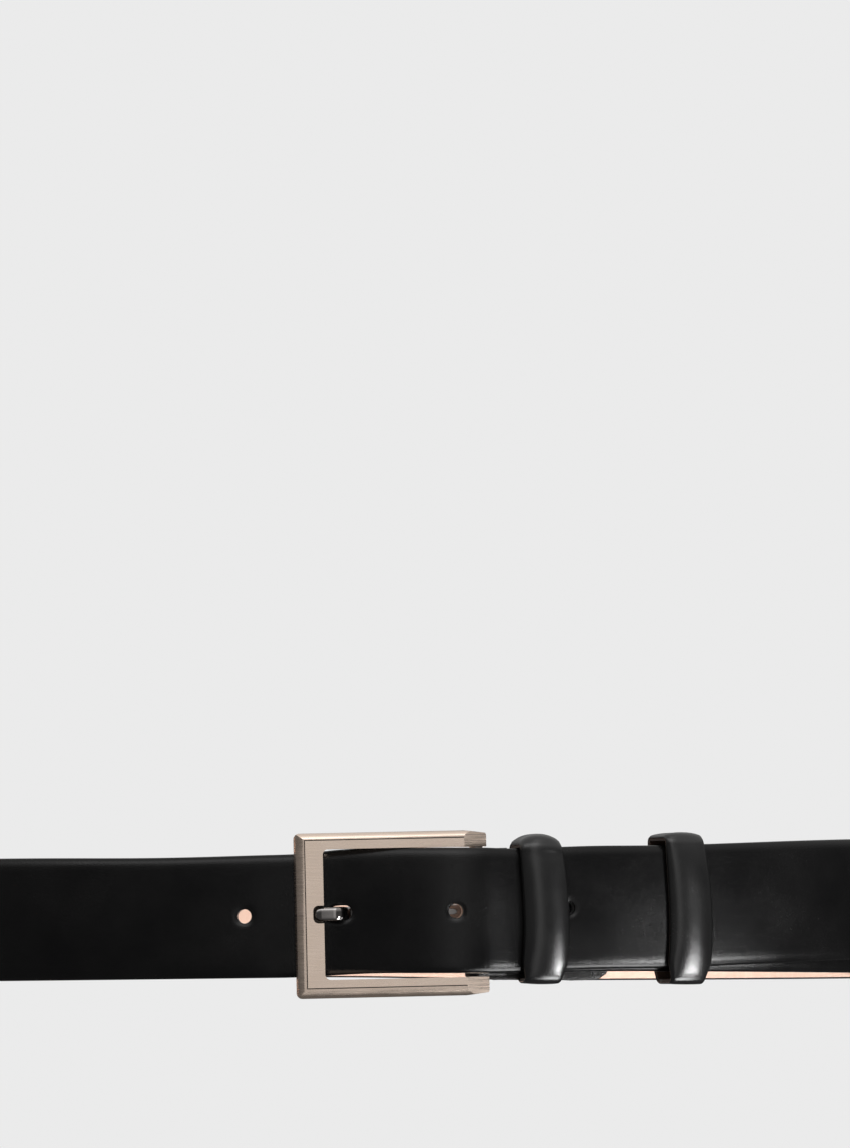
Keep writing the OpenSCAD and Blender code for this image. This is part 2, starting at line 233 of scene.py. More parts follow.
def punched_sheet(columns, rows, holes):
    """A flat grid of quads in (s, z) with round-ended holes: inside each hole's window the grid gives way
    to rings, whose points go straight from the window's border to the hole's rim.
    A hole is (s, z, radius, stretch along s, window's columns, window's rows)."""
    ns, nz = len(columns), len(rows)
    grid = np.stack(np.meshgrid(columns, rows, indexing="ij"), axis=-1).reshape(-1, 2)
    index = np.arange(ns * nz).reshape(ns, nz)
    keep = np.ones((ns - 1, nz - 1), bool)
    points, quads, count = [grid], [], ns * nz
    for s, z, radius, stretch, (i0, i1), (j0, j1) in holes:
        keep[i0:i1, j0:j1] = False
        border = np.concatenate([index[i0:i1, j0], index[i1, j0:j1],
                                 index[i1:i0:-1, j1], index[i0, j1:j0:-1]])
        outer = grid[border]
        squeeze = (rows[j1] - rows[j0]) / (columns[i1] - columns[i0])
        angle = np.arctan2(outer[:, 1] - z, (outer[:, 0] - s) * squeeze)
        rim = np.stack([s + radius * np.cos(angle) + stretch / 2 * np.sign(np.round(np.cos(angle), 6)),
                        z + radius * np.sin(angle)], axis=-1)
        rings = rim + (outer - rim) * np.array(RING_SHARES)[:, None, None]
        n = len(border)
        ids = np.vstack([border, count + np.arange(len(RING_SHARES) * n).reshape(-1, n)])
        points.append(rings.reshape(-1, 2))
        count += len(RING_SHARES) * n
        a, b = ids[:-1], ids[1:]
        quads.append(np.stack([a, np.roll(a, -1, 1), np.roll(b, -1, 1), b], axis=-1).reshape(-1, 4))
    cells = np.stack([index[:-1, :-1], index[1:, :-1], index[1:, 1:], index[:-1, 1:]], axis=-1)[keep]
    quads.append(cells.reshape(-1, 4))
    points, quads = np.concatenate(points), np.concatenate(quads)
    used, inverse = np.unique(quads, return_inverse=True)
    return points[used], inverse.reshape(quads.shape)


def walls(quads, offset):
    """Quads that join each open edge of a sheet to the same edge of its copy, offset further on."""
    edges = np.concatenate([quads[:, [k, (k + 1) % 4]] for k in range(4)])
    _, first, times = np.unique(np.sort(edges, axis=1), axis=0, return_index=True, return_counts=True)
    a, b = edges[first[times == 1]].T
    return np.stack([b, a, a + offset, b + offset], axis=-1)


def slab(name, sheet, outer, inner, place, painted=None):
    """A closed slab of leather: the sheet's points at the outer and the inner surface, and walls between.
    outer and inner give w from (s, z), place turns (s, w, z) into points, and painted,
    where given, says how much black a point has: painted edges, or painted shade on a hole's walls."""
    points, quads = sheet
    s, z = points.T
    top, bottom = place(s, outer(s, z), z), place(s, inner(s, z), z)
    n = len(points)
    faces = np.concatenate([quads, quads[:, ::-1] + n, walls(quads, n)])
    obj = make_object(name, np.concatenate([top, bottom]), faces)
    if painted is not None:
        # black mask: painted edges, and on the tail painted shade on hole walls
        paint_and_shade = obj.data.attributes.new("edge_paint_and_hole_shade", "FLOAT", "POINT")
        paint_and_shade.data.foreach_set("value", np.tile(painted(s, z), 2).astype(np.float32))
    return obj


def sweep(name, centres, sides, ups, profile, closed=False, smooth_angle=40):
    """A closed profile carried along a path: each ring is centre + u * side + v * up for the profile's
    (u, v). The ends are closed with a fan unless the path itself is closed."""
    rings, m = len(centres), profile.shape[-2]
    profile = np.broadcast_to(profile, (rings, m, 2))
    points = centres[:, None] + profile[..., :1] * sides[:, None] + profile[..., 1:] * ups[:, None]
    ids = np.arange(rings * m).reshape(rings, m)
    a = ids if closed else ids[:-1]
    b = np.roll(ids, -1, 0) if closed else ids[1:]
    faces = np.stack([a, np.roll(a, -1, 1), np.roll(b, -1, 1), b], axis=-1).reshape(-1, 4).tolist()
    if not closed:
        faces += [ids[0].tolist(), ids[-1][::-1].tolist()]
    return make_object(name, points.reshape(-1, 3), faces, smooth_angle)


# ======================================================================================
# Materials
# ======================================================================================

def new_group(name, inputs, outputs):
    """An empty node group of plain numbers: inputs as {name: value}, outputs as names."""
    tree = bpy.data.node_groups.new(name, "ShaderNodeTree")
    for key, value in inputs.items():
        tree.interface.new_socket(key, in_out="INPUT", socket_type="NodeSocketFloat").default_value = value
    for key in outputs:
        tree.interface.new_socket(key, in_out="OUTPUT", socket_type="NodeSocketFloat")
    return tree, tree.nodes.new("NodeGroupInput").outputs, tree.nodes.new("NodeGroupOutput").inputs


class Wiring:
    """Short ways to add and join nodes in one tree."""

    def __init__(self, tree):
        self.tree = tree

    def node(self, kind, inputs=None, **settings):
        """Adds a shader node, with its settings and what goes into its sockets."""
        node = self.tree.nodes.new("ShaderNode" + kind)
        for key, value in settings.items():
            setattr(node, key, value)
        for key, value in (inputs or {}).items():
            self.put(value, node.inputs[key])
        return node

    def put(self, value, socket):
        """Links another node's output to a socket, or sets the socket to a constant."""
        if isinstance(value, bpy.types.NodeSocket):
            self.tree.links.new(value, socket)
        else:
            socket.default_value = value

    def math(self, operation, a, b=0.0, c=0.0):
        """A sum on up to three values."""
        node = self.node("Math", operation=operation)
        for value, socket in zip((a, b, c), node.inputs):
            self.put(value, socket)
        return node.outputs[0]

    def blend(self, factor, a, b):
        """Two colours mixed by a factor."""
        node = self.node("Mix", data_type="RGBA")
        self.put(factor, node.inputs[0])
        self.put(a, node.inputs[6])
        self.put(b, node.inputs[7])
        return node.outputs[2]

    def fit(self, value, low, high, to_low=0.0, to_high=1.0):
        """A value taken evenly, and clamped, from one range to another."""
        return self.node("MapRange", {"Value": value, "From Min": low, "From Max": high,
                                      "To Min": to_low, "To Max": to_high}).outputs[0]

    def here(self, stretch=None):
        """The piece's own coordinates in metres, stretched along its axes where given."""
        where = self.node("TexCoord").outputs["Object"]
        if stretch is None:
            return where
        return self.node("VectorMath", {0: where, 1: stretch}, operation="MULTIPLY").outputs[0]

    def noise(self, where, scale, detail, distortion=0.0):
        """Cloudy noise at a place."""
        return self.node("TexNoise", {"Vector": where, "Scale": scale, "Detail": detail,
                                      "Distortion": distortion}).outputs["Fac"]


def grain_group():
    """Smooth leather's grain: flat pebbles between fine creases, pores, and a slow cloud of uneven polish."""
    tree, inp, out = new_group("leather_grain", {"Pebble Scale": 1500.0, "Crease": 0.5, "Cloud Scale": 60.0},
                               ("Height", "Cloud", "Pores"))
    w = Wiring(tree)
    where = w.here()
    bend = w.node("TexNoise", {"Vector": where, "Scale": 900.0, "Detail": 2.0}).outputs["Color"]
    shift = w.node("VectorMath", {0: bend, 1: (0.0004, 0.0004, 0.0004)}, operation="MULTIPLY").outputs[0]
    bent = w.node("VectorMath", {0: where, 1: shift}, operation="ADD").outputs[0]
    cells = w.node("TexVoronoi", {"Vector": bent, "Scale": inp["Pebble Scale"]}, feature="DISTANCE_TO_EDGE")
    crease = w.fit(cells.outputs["Distance"], 0.0, 0.28)
    fine = w.noise(where, 5200.0, 3.0)
    pore = w.fit(w.node("TexVoronoi", {"Vector": where, "Scale": 1150.0}).outputs["Distance"], 0.05, 0.2)
    height = w.math("MULTIPLY_ADD", crease, inp["Crease"], w.math("MULTIPLY", fine, 0.35))
    w.put(w.math("MULTIPLY_ADD", pore, 0.3, height), out["Height"])
    w.put(w.noise(where, inp["Cloud Scale"], 3.0), out["Cloud"])
    w.put(pore, out["Pores"])
    return tree


def fibre_group():
    """Short tangled fibres of split leather: stretched noise one way, and again across it."""
    tree, inp, out = new_group("suede_fibres", {"Scale": 900.0}, ("Height", "Patch"))
    w = Wiring(tree)
    upright = w.noise(w.here((1.0, 1.0, 0.25)), inp["Scale"], 5.0, 0.6)
    level = w.noise(w.here((0.3, 0.3, 1.0)), inp["Scale"], 5.0, 0.6)
    w.put(w.math("ADD", upright, level), out["Height"])
    w.put(w.noise(w.here(), 45.0, 4.0), out["Patch"])
    return tree


def brushed_group():
    """Fine level lines of a brushed metal: noise that hardly changes along x and y, and a slow stain."""
    tree, inp, out = new_group("brushed_lines", {"Scale": 4200.0}, ("Lines", "Stain"))
    w = Wiring(tree)
    w.put(w.noise(w.here((0.03, 0.03, 1.0)), inp["Scale"], 4.0), out["Lines"])
    w.put(w.noise(w.here(), 130.0, 3.0), out["Stain"])
    return tree


GRAIN, FIBRES, BRUSHED = grain_group(), fibre_group(), brushed_group()
# black of the painted edges, also laid on hole walls as painted shade
EDGE_PAINT_AND_SHADE_BLACK = (0.007, 0.0065, 0.007)


def new_material(name):
    """A material with its Principled shader, and the wiring of its tree."""
    material = bpy.data.materials.new(name)
    material.use_nodes = True
    return material, material.node_tree.nodes["Principled BSDF"].inputs, Wiring(material.node_tree)


def leather(name, dark, light, roughness, pebble, crease, bump, specular):
    """Finished leather: two near tones mixed by the cloud, duller in the pores, with the grain as bump."""
    material, shader, w = new_material(name)
    grain = w.node("Group", node_tree=GRAIN)
    grain.inputs["Pebble Scale"].default_value = pebble
    grain.inputs["Crease"].default_value = crease
    cloud = w.fit(grain.outputs["Cloud"], 0.35, 0.7)
    w.put(w.blend(cloud, dark + (1,), light + (1,)), shader["Base Color"])
    rough = w.fit(grain.outputs["Cloud"], 0.3, 0.75, roughness - 0.05, roughness + 0.06)
    w.put(w.math("ADD", rough, w.fit(grain.outputs["Pores"], 0.0, 1.0, 0.05, 0.0)), shader["Roughness"])
    lift = w.node("Bump", {"Height": grain.outputs["Height"], "Strength": bump, "Distance": 0.00006})
    w.put(lift.outputs[0], shader["Normal"])
    shader["Specular IOR Level"].default_value = specular
    return material


def split_leather(name, dark, light, painted=False):
    """Matt lining leather with tangled fibres, patchy in tone, and black where its edge is painted and where
    painted shade lies on a hole's walls.
    """
    material, shader, w = new_material(name)
    fibres = w.node("Group", node_tree=FIBRES)
    tone = w.fit(w.math("ADD", w.math("MULTIPLY", fibres.outputs["Patch"], 0.7),
                        w.math("MULTIPLY", fibres.outputs["Height"], 0.3)), 0.45, 0.85)
    colour = w.blend(tone, dark + (1,), light + (1,))
    rough = w.fit(fibres.outputs["Height"], 0.6, 1.4, 0.75, 0.9)
    if painted:
        # black where the edges are painted, and painted shade on hole walls
        paint_and_shade = w.fit(w.node("Attribute", attribute_name="edge_paint_and_hole_shade").outputs["Fac"], 0.35, 0.65)
        colour = w.blend(paint_and_shade, colour, EDGE_PAINT_AND_SHADE_BLACK + (1,))
        rough = w.math("MULTIPLY_ADD", paint_and_shade, -0.45, rough)
    w.put(colour, shader["Base Color"])
    w.put(rough, shader["Roughness"])
    lift = w.node("Bump", {"Height": fibres.outputs["Height"], "Strength": 0.5, "Distance": 0.00008})
    w.put(lift.outputs[0], shader["Normal"])
    shader["Specular IOR Level"].default_value = 0.25
    shader["Sheen Weight"].default_value = 0.2
    return material


def metal(name, colour, stain, roughness, lines):
    """Plated metal: brushed lines in its roughness and bump, and a faint stain in its colour."""
    material, shader, w = new_material(name)
    brushed = w.node("Group", node_tree=BRUSHED)
    stained = w.fit(brushed.outputs["Stain"], 0.3, 0.75)
    w.put(w.blend(stained, colour + (1,), stain + (1,)), shader["Base Color"])
    rough = w.fit(brushed.outputs["Lines"], 0.3, 0.7, roughness - 0.05, roughness + 0.07)
    w.put(rough, shader["Roughness"])
    lift = w.node("Bump", {"Height": brushed.outputs["Lines"], "Strength": lines, "Distance": 0.00002})
    w.put(lift.outputs[0], shader["Normal"])
    shader["Metallic"].default_value = 1.0
    return material


STRAP_LEATHER = leather("black_strap_leather", (0.0016, 0.0016, 0.0018), (0.003, 0.0029, 0.003),
                        0.22, 2300.0, 0.6, 0.33, 0.35)
KEEPER_LEATHER = leather("black_keeper_leather", (0.004, 0.004, 0.0044), (0.007, 0.007, 0.007),
                         0.22, 2600.0, 0.45, 0.28, 0.75)
FOLD_LEATHER = leather("black_skived_leather", (0.003, 0.003, 0.003), (0.007, 0.0065, 0.0065),
                       0.28, 1500.0, 0.8, 0.9, 0.35)
LINING = split_leather("beige_lining_leather", (0.76, 0.52, 0.41), (0.90, 0.66, 0.54), painted=True)
CORE_BOARD = split_leather("tan_filler_board", (0.22, 0.12, 0.06), (0.38, 0.23, 0.13), painted=True)
KEEPER_LINING = split_leather("brown_keeper_lining", (0.030, 0.017, 0.011), (0.065, 0.038, 0.026))
THREAD = split_leather("black_waxed_thread", (0.006, 0.006, 0.006), (0.02, 0.02, 0.02))
SATIN = metal("satin_warm_nickel", (0.94, 0.775, 0.655), (0.90, 0.735, 0.615), 0.28, 0.09)
# the prong's polished nickel is coloured darker than the frame's: painted dark reflection on its bar and eye
PRONG_NICKEL_PAINTED_DARK = metal("polished_nickel_painted_dark_reflection", (0.34, 0.32, 0.31), (0.29, 0.275, 0.27), 0.08, 0.05)
PIN_STEEL = metal("drawn_pin_steel", (0.52, 0.50, 0.48), (0.45, 0.43, 0.41), 0.3, 0.5)
# dark metal for the frame's engraved line and notch: painted shade in these recesses
GROOVE_PAINTED_SHADE = metal("painted_shade_in_nickel_recesses", (0.12, 0.10, 0.085), (0.09, 0.075, 0.065), 0.5, 0.3)


def dress(obj, material, body=None, blend=None, replaces=()):
    """Gives a piece its material and hangs it on its body, or, for a piece given bend ends, only bakes its
    place into its points; and hides the design's nodes it replaces.
    """
    obj.data.materials.clear()
    obj.data.materials.append(material)
    if blend:
        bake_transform(obj)
    else:
        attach(obj, body)
    if replaces:
        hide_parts(*replaces)
    return obj


# ======================================================================================
# Strap: lining, board and outer leather, each in three stretches that meet end to end
# ======================================================================================

BEND_X = 108 * MM                          # the back bends between x = -108 and 108 mm when undone
BACK_END_X = 112 * MM                      # and its stretch of strap ends just outside that
S_HEEL = s_at(HEEL_X)
S_BEND = float(np.interp(math.pi - math.asin(BACK_END_X / LOOP_HALF), TURNS, LENGTHS))
S_TIP = float(np.interp(TIP_TURN, TURNS, LENGTHS))
STRAP_STEP, TIP_STEP = 2.2 * MM, 1.8 * MM  # spacing of the points along the strap
PAST_HEEL = {"outer": 4.6 * MM, "core": 3.6 * MM, "lining": 3.6 * MM}    # where the buckle half starts

FIRST_HOLE = USED_HOLE - LAST_PITCH - 0.4 * MM
OPEN_HOLE = USED_HOLE + HOLE_PITCH
KEEPER_HOLES = (OPEN_HOLE + HOLE_PITCH + 0.5 * MM, OPEN_HOLE + 2 * HOLE_PITCH + 1 * MM)
WORN_HOLE, WORN_R, WORN_STRETCH = USED_HOLE - 0.6 * MM, 1.85 * MM, 1.7 * MM
PRESS_DEPTH, PRESS_REACH = 0.28 * MM, 0.55 * MM
TIP_ROUNDNESS = 2.2


def edge_fall(z, depth, reach=2.4 * MM):
    """How far a face falls away at the strap's edges: a quarter ellipse as deep as depth, reach wide."""
    share = np.clip((np.abs(z) - (HALF_W - reach)) / reach, 0, 1)
    return depth * (1 - np.sqrt(1 - share ** 2))


def crown(z, rise):
    """A slight pillow across the strap, highest in the middle."""
    return rise * (1 - (z / HALF_W) ** 2)


def skin_outer(s, z):
    """The strap's face: a slight pillow that falls away at both edges."""
    edge_t = STRAP_T - 0.10 * MM
    return edge_t + crown(z, 0.22 * MM) - edge_fall(z, 1.1 * MM)


def past_rim(s, z, hole):
    """How far a point is outside a round-ended hole: its distance from the hole's line, less the radius."""
    at, _, radius, stretch, _ = hole
    along = np.maximum(0, np.abs(s - at) - stretch / 2)
    return np.hypot(along, z) - radius


def pressed_in(s, z, holes):
    """How far the punch has drawn the leather in round the holes: deepest at a rim, gone in a millimetre."""
    return sum(PRESS_DEPTH * np.exp(-(past_rim(s, z, hole) / PRESS_REACH) ** 2) for hole in holes)


def tail_place(s, w, z):
    """The tail's points. Its upper edge droops a little left of the buckle and bulges inside the buckle,
    and beyond the free keeper the tail rises a little more."""
    x = LOOP_HALF * np.sin(turn_of(s))
    top = np.clip(z / HALF_W, 0, None)
    droop = 0.5 * MM * np.exp(-((x + 36 * MM) / (26 * MM)) ** 2) * top ** 2
    bulge = 0.4 * MM * smooth((x + 2 * MM) / (9 * MM)) * (1 - smooth((x - 40 * MM) / (12 * MM))) * top ** 4
    rise = 0.85 * MM * smooth((x - 75 * MM) / (65 * MM)) * (np.cos(turn_of(s)) > 0)
    return on_belt(s, w, z + bulge - droop + rise, True)


def level(height):
    """A flat face of a layer, at one height."""
    return lambda s, z: height + 0 * z


LAYER_GAP = 0.01 * MM                      # keeps the board's faces off the leathers'
LAYERS = {
    "outer": (skin_outer, level(LINING_T + CORE_T)),
    "core": (level(LINING_T + CORE_T - LAYER_GAP), level(LINING_T + LAYER_GAP)),
    "lining": (level(LINING_T), lambda s, z: edge_fall(z, 0.35 * MM, 0.8 * MM)),
}


def tail_columns():
    """Places along the tail half, with a window of even columns at every hole, and the holes with their
    windows' columns."""
    holes = [(s_at(x), 0.0, HOLE_R) for x in (FIRST_HOLE, OPEN_HOLE, *KEEPER_HOLES)]
    holes.append((s_at(WORN_HOLE), WORN_STRETCH, WORN_R))
    parts, windows, at, count = [], [], -S_BEND, 0
    for s, stretch, radius in sorted(holes):
        reach = WINDOW + stretch
        parts.append(steps(at, s - reach, STRAP_STEP)[:-1])
        count += len(parts[-1])
        parts.append(np.linspace(s - reach, s + reach, WINDOW_STEPS + 1)[:-1])
        windows.append((s, 0.0, radius, stretch, (count, count + WINDOW_STEPS)))
        count += WINDOW_STEPS
        at = s + reach
    parts.append(steps(at, S_TIP - 0.4 * MM, TIP_STEP))
    parts.append(np.array([S_TIP - 0.15 * MM, S_TIP]))
    return np.concatenate(parts), windows


def painted_edge(s, z):
    """1 within about half a millimetre of the strap's edges, 0 elsewhere."""
    return (np.abs(z) > HALF_W - 0.45 * MM).astype(float)


def tail_paint_and_hole_shade(s, z, holes):
    """1 where the tail is black: its painted edges and tip, and painted shade on the walls of every hole but
    the open one.
    """
    paint_and_shade = np.maximum(painted_edge(s, z), s > S_TIP - 0.25 * MM)
    # the walls of every hole but the open one are blackened: painted shade inside the holes
    for hole in holes:
        if abs(hole[0] - s_at(OPEN_HOLE)) > 1 * MM:
            paint_and_shade = np.maximum(paint_and_shade, past_rim(s, z, hole) < 0.3 * MM)
    return paint_and_shade


def loop_place(s, w, z):
    """Points of the buckle half and the back, which lie straight on the oval."""
    return on_belt(s, w, z, False)


def strap_layer(layer, material):
    """One layer of the strap as three slabs: the buckle stretch, the back that bends, and the tail."""
    outer, inner = LAYERS[layer]
    painted = None if layer == "outer" else painted_edge
    rows = strap_rows()
    sheet = punched_sheet(steps(S_HEEL + PAST_HEEL[layer], S_BEND, STRAP_STEP), rows, [])
    piece = slab(f"strap_{layer}_buckle_stretch", sheet, outer, inner, loop_place, painted)
    dress(piece, material, body="root", replaces=[f"buckle_strap_{layer}"])

    sheet = punched_sheet(steps(S_BEND, 2 * HALF_LOOP - S_BEND, STRAP_STEP), rows, [])
    piece = slab(f"strap_{layer}_back_stretch", sheet, outer, inner, loop_place, painted)
    back_y = LOOP_Y + LOOP_DEEP
    dress(piece, material, blend=[(BEND_X, back_y, MID_Z), (-BEND_X, back_y, MID_Z)])

    columns, windows = tail_columns()
    points, quads = punched_sheet(columns, rows, [(*window, window_rows(rows)) for window in windows])
    # the tail's black mask: painted edges and tip, and painted shade on hole walls
    paint_and_shade = tail_paint_and_hole_shade(*points.T, windows)
    share = np.clip((points[:, 0] - (S_TIP - 2 * TIP_L)) / (2 * TIP_L), 0, 1)
    across = np.clip(np.abs(points[:, 1]) / HALF_W, 0, 1)
    points[:, 0] -= share * TIP_L * (1 - np.sqrt(1 - across ** TIP_ROUNDNESS))
    if layer == "outer":
        outer = lambda s, z: skin_outer(s, z) - pressed_in(s, z, windows)
    else:
        painted = lambda s, z: paint_and_shade
    piece = slab(f"strap_{layer}_tail", (points, quads), outer, inner, tail_place, painted)
    dress(piece, material, body="tail", replaces=[f"tail_strap_{layer}"])


strap_layer("outer", STRAP_LEATHER)
strap_layer("core", CORE_BOARD)
strap_layer("lining", LINING)


# ======================================================================================
# Fold: the outer leather thinned, round the heel bar, and back as a tab behind the strap
# ======================================================================================

FOLD_START, FOLD_START_W = 7 * MM, 2.75 * MM     # where the fold leaves the strap's face, past the bar
FACE_STEPS, TURN_STEPS = 9, 24
SLOT_R = 2.15 * MM
FOLD_SPREAD, FOLD_RAISE = 1.035, 0.2 * MM        # the leather is drawn out a little as it rounds the bar
TAB_TRIM, TAB_HANG = 0.966, 0.85 * MM            # behind the strap it is narrower, and hangs lower


def fold_path():
    """Middle line of the fold in (s, w): down the strap's face, round the bar, and along the tab."""
    r = FOLD_R + FOLD_T / 2
    u = np.linspace(0, 1, FACE_STEPS + 1)[:-1]
    rise = (FOLD_R + r - FOLD_START_W) * smooth(u)
    face = np.stack([S_HEEL + FOLD_START * (1 - u), FOLD_START_W + rise], axis=-1)
    angles = np.linspace(math.pi / 2, 3 * math.pi / 2, TURN_STEPS + 1)
    around = np.stack([S_HEEL + r * np.cos(angles), FOLD_R + r * np.sin(angles)], axis=-1)
    along = steps(S_HEEL, S_HEEL + TAB_L, 1.5 * MM)[1:]
    tab = np.stack([along, np.full(len(along), -FOLD_T / 2)], axis=-1)
    return np.concatenate([face, around, tab])


def fold():
    """The fold as a slab along its path, with the prong's slot cut through where it rounds the bar."""
    path = fold_path()
    run = np.concatenate([[0], np.cumsum(np.hypot(*np.diff(path.T)))])
    step = np.gradient(path, axis=0)
    normal = np.stack([step[:, 1], -step[:, 0]], axis=-1) / np.hypot(*step.T)[:, None]
    turn_from, turn_to = run[FACE_STEPS], run[FACE_STEPS + TURN_STEPS]
    slot_from, slot_to = turn_from - 3.2 * MM, turn_to + 1.8 * MM
    slot_mid, slot_half = (slot_from + slot_to) / 2, (slot_to - slot_from) / 2
    reach = slot_half + 1.2 * MM
    before = steps(0, slot_mid - reach, 1.2 * MM)[:-1]
    beside = np.linspace(slot_mid - reach, slot_mid + reach, TURN_STEPS + 1)[:-1]
    columns = np.concatenate([before, beside, steps(slot_mid + reach, run[-1], 1.5 * MM)])
    rows = strap_rows()
    slot = (slot_mid, 0.0, SLOT_R, 2 * (slot_half - SLOT_R), (len(before), len(before) + TURN_STEPS),
            window_rows(rows))
    sheet = punched_sheet(columns, rows, [slot])
    s = sheet[0][:, 0]
    tab_share = np.clip((s - turn_to) / (TAB_L - 3 * MM), 0, 1)
    ragged = 0.25 * MM * np.sin(s * 700) * np.sin(s * 1310 + 1) * tab_share

    def place(s, w, z):
        """The path's point moved along its normal, with the tab trimmed, hung, ragged and round-cornered."""
        at = np.stack([np.interp(s, run, path[:, k]) for k in (0, 1)], axis=-1)
        n = np.stack([np.interp(s, run, normal[:, k]) for k in (0, 1)], axis=-1)
        along, out = (at + n * w[:, None]).T
        after = smooth((s - turn_to + 1 * MM) / (5 * MM))
        corner = np.clip((s - run[-1] + 7 * MM) / (7 * MM), 0, 1) ** 3
        leaning = twist(LOOP_HALF * np.sin(turn_of(along)), np.full(len(s), -LOOP_DEEP))
        hang = (TAB_HANG + HALF_W * (1 - TAB_TRIM) + leaning) * after + ragged
        low, high = np.clip(-z / HALF_W, 0, None), np.clip(z / HALF_W, 0, None)
        tab_z = z * TAB_TRIM - low * hang + (9 * MM * low ** 3 - 5 * MM * high ** 3) * corner
        turn_z = z * FOLD_SPREAD + FOLD_RAISE
        return on_belt(along, out, after * tab_z + (1 - after) * turn_z, False)

    def face(side):
        """One face of the leather: half its thickness out on that side, rounded at the edges."""
        return lambda s, z: side * (FOLD_T / 2 - edge_fall(z, 0.25 * MM, 0.6 * MM))

    piece = slab("fold_and_tab", sheet, face(1), face(-1), place)
    dress(piece, FOLD_LEATHER, body="root")


fold()


# ======================================================================================
# Buckle
# ======================================================================================

HEEL = np.array([*oval(math.asin(HEEL_X / LOOP_HALF), FOLD_R), 0.0]) + np.array([0, LOOP_Y, MID_Z])
BUCKLE_MID = -21.1 * MM
FRAME_FACE = 4.825 * MM                    # how far the frame's face stands outside the heel bar's axis
LINE_DEPTH = 0.25 * MM
NOTCH_X = -39.1 * MM                       # middle of the notch that holds the prong's tip
NOTCH_LIFT = 0.3 * MM
NOTCH_HALF_L, NOTCH_HALF_H = 1.5 * MM, 2.2 * MM
CORNER_ANGLE = math.radians(28)            # the frame's edges sharper than this are rounded
CORNER_R = 0.16 * MM


def buckle_turn(points, back=False):
    """Turns points from the buckle's own frame (x along it from the heel bar, y inwards, z up) into the
    belt's, or back: a roll about the frame's middle, then a yaw, then the heel bar's place."""
    yaw = np.array(Matrix.Rotation(FRAME_YAW, 3, "Z"))
    roll = np.array(Matrix.Rotation(-FRAME_ROLL, 3, "Y"))
    middle = np.array([BUCKLE_MID, 0, 0])
    if back:
        return ((points - HEEL) @ yaw - middle) @ roll + middle
    return ((points - middle) @ roll.T + middle) @ yaw.T + HEEL


def frame_casting():
    """The frame from the design's own solid: its flat faces joined, its outer edges rounded, and painted
    shade on the line cut round its face and in the notch for the prong's tip."""
    obj = bpy.data.objects.new("frame_casting", frame["nodes"]["buckle_frame"].data.copy())
    bpy.context.scene.collection.objects.link(obj)
    bm = bmesh.new()
    bm.from_mesh(obj.data)
    bmesh.ops.remove_doubles(bm, verts=bm.verts, dist=2e-6)
    bmesh.ops.dissolve_limit(bm, angle_limit=math.radians(0.6), verts=bm.verts, edges=bm.edges)
    bmesh.ops.recalc_face_normals(bm, faces=bm.faces)

    def in_line(face):
        """Whether a face belongs to the line cut round the frame's face."""
        depth = [-buckle_turn(np.array(v.co), back=True)[1] for v in face.verts]
        floor_face = abs(min(depth) - (FRAME_FACE - LINE_DEPTH)) < 1e-5
        return floor_face and max(depth) < FRAME_FACE + 1e-5

    def in_notch(face):
        """Whether a face belongs to the notch for the prong's tip."""
        x, y, z = buckle_turn(np.array(face.calc_center_median()), back=True)
        beside = abs(x - NOTCH_X) < NOTCH_HALF_L and abs(z - NOTCH_LIFT) < NOTCH_HALF_H
        return beside and -y < FRAME_FACE - LINE_DEPTH

    lines = {face for face in bm.faces if in_line(face)}
    notch = {face for face in bm.faces if in_notch(face)}
    sharp = [e for e in bm.edges if e.is_manifold and e.calc_face_angle(0) > CORNER_ANGLE
             and not any(face in lines for face in e.link_faces) and e.calc_length() > 0.5 * MM]
    for face in bm.faces:
        face.smooth = True
        # the line and the notch take the second, dark material: painted shade
        face.material_index = int(face in lines or face in notch)
    bmesh.ops.bevel(bm, geom=sharp, offset=CORNER_R, offset_type="OFFSET", segments=2, profile=0.6,
                    affect="EDGES", clamp_overlap=True, material=0)
    for e in bm.edges:
        e.smooth = not e.is_manifold or e.calc_face_angle(0) < math.radians(38)
    obj.data.materials.clear()
    obj.data.materials.append(SATIN)
    obj.data.materials.append(GROOVE_PAINTED_SHADE)
    bm.to_mesh(obj.data)
    bm.free()
    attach(obj, "buckle")
    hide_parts("buckle_frame")
    weights = obj.modifiers.new("weights", "WEIGHTED_NORMAL")
    weights.keep_sharp = True
    weights.weight = 80


frame_casting()
for node, material in (("heel_bar", PIN_STEEL), ("fixed_keeper_staple", PIN_STEEL),
                       ("free_keeper_staple", PIN_STEEL), ("fold_stitching", THREAD)):
    frame["nodes"][node].data.materials.clear()
    frame["nodes"][node].data.materials.append(material)

PRONG_HALF_W, PRONG_HALF_T = 1.72 * MM, 0.95 * MM
PRONG_LIFT = NOTCH_LIFT + 0.08 * MM
PRONG_LOW, PRONG_HIGH = -0.6 * MM, 5.7 * MM      # how far out it runs behind the tail and over the frame
PRONG_DIP_FROM, PRONG_DIP_TO, PRONG_RISE_TO = 30 * MM, 9.6 * MM, 6.6 * MM
PRONG_START = HEEL_X - 1.2 * MM
PRONG_ROUND_FROM = 3 * MM
PRONG_TIP_L, PRONG_TIP_R = 1.8 * MM, 1.85 * MM
EYE_R, EYE_HALF_T, EYE_HALF_W = 2.16 * MM, 0.5 * MM, 1.5 * MM


def level_to_buckle(points):
    """Rolls points that were laid level on the belt with the frame."""
    yaw = np.array(Matrix.Rotation(FRAME_YAW, 3, "Z"))
    return buckle_turn((points - HEEL) @ yaw)


def squared_oval(half_u, half_v, power_u, power_v):
    """A closed oval with squared corners: a cos^p t and b sin^q t, each with its own sign kept."""
    angle = np.linspace(0, 2 * math.pi, 33)[:-1]
    cos, sin = np.cos(angle), np.sin(angle)
    return np.stack([half_u * np.sign(cos) * np.abs(cos) ** power_u,
                     half_v * np.sign(sin) * np.abs(sin) ** power_v], axis=-1)


